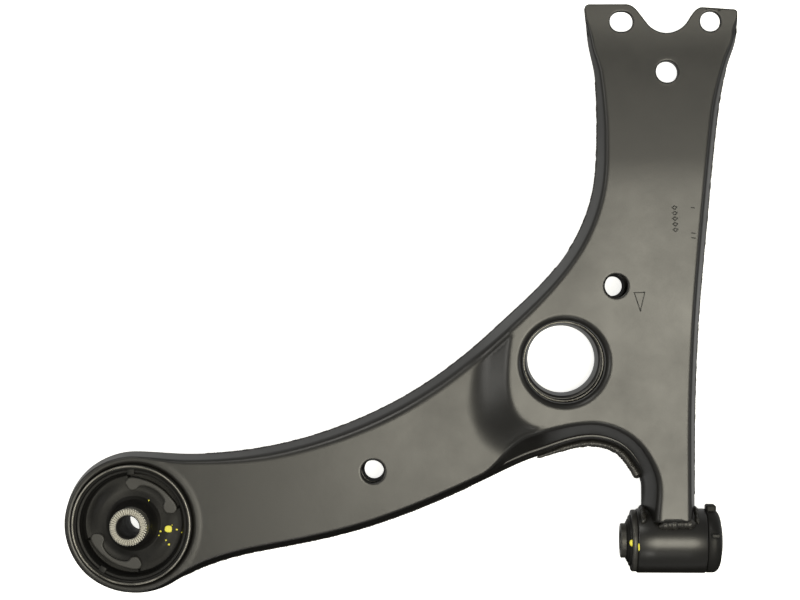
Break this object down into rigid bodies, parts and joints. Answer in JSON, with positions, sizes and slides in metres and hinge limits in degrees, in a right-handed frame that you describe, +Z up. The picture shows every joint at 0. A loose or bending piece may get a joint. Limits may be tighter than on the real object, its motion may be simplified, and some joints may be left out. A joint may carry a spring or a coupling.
{
  "type": "suspension control arm",
  "caption": "Pressed-steel lower control arm with a horizontal front bush, a vertical rear bush and a bare bolting end for a ball joint.",
  "frame": {"origin": "centre of the front pivot bore, on the axis of the front bush", "axes": "+X forward along the front pivot bore, +Y outboard towards the ball joint, +Z up along the rear bush bore"},
  "size_m": [0.4293, 0.3755, 0.059],
  "materials": {
    "black_coat": "glossy black dip coat over pressed steel",
    "weld_bead": "glossy black dip coat over rough weld bead",
    "sleeve_steel": "bare turned steel with a serrated end",
    "dark_steel": "dark phosphated steel",
    "bush_rubber": "matt moulded rubber",
    "stop_pad": "satin grey moulding"
  },
  "bodies": {
    "arm": {"upper_shell": "black_coat", "lower_shell": "black_coat", "bolt_spacer": "dark_steel", "pivot_tube": "black_coat", "front_outer_sleeve": "dark_steel", "front_bush_rubber": "bush_rubber", "front_stop_flange": "bush_rubber", "rear_outer_sleeve": "dark_steel", "rear_bush_rubber": "bush_rubber", "rear_stop_pad_outboard": "stop_pad", "rear_stop_pad_inboard": "stop_pad", "seam_weld_front": "weld_bead", "seam_weld_leg": "weld_bead", "seam_weld_inner": "weld_bead", "seam_weld_rear": "weld_bead", "arch_seam_weld": "weld_bead", "tube_top_weld": "weld_bead", "tube_bottom_weld": "weld_bead", "tube_front_weld": "weld_bead", "tube_rear_weld": "weld_bead"},
    "front_sleeve": {"front_inner_sleeve": "dark_steel"},
    "rear_sleeve": {"rear_inner_sleeve": "sleeve_steel"}
  },
  "joints": [
    {"name": "front_bush_twist", "type": "hinge", "parent": "arm", "child": "front_sleeve", "pos_m": [0, 0, 0], "axis": [1, 0, 0], "range_deg": [-15, 15], "stiffness_Nm_per_rad": 60},
    {"name": "rear_bush_tilt", "type": "hinge", "parent": "arm", "child": "rear_sleeve", "pos_m": [-0.343, 0.0105, 0], "axis": [1, 0, 0], "range_deg": [-12, 12], "stiffness_Nm_per_rad": 60, "deforming": ["rear_bush_rubber"]}
  ]
}
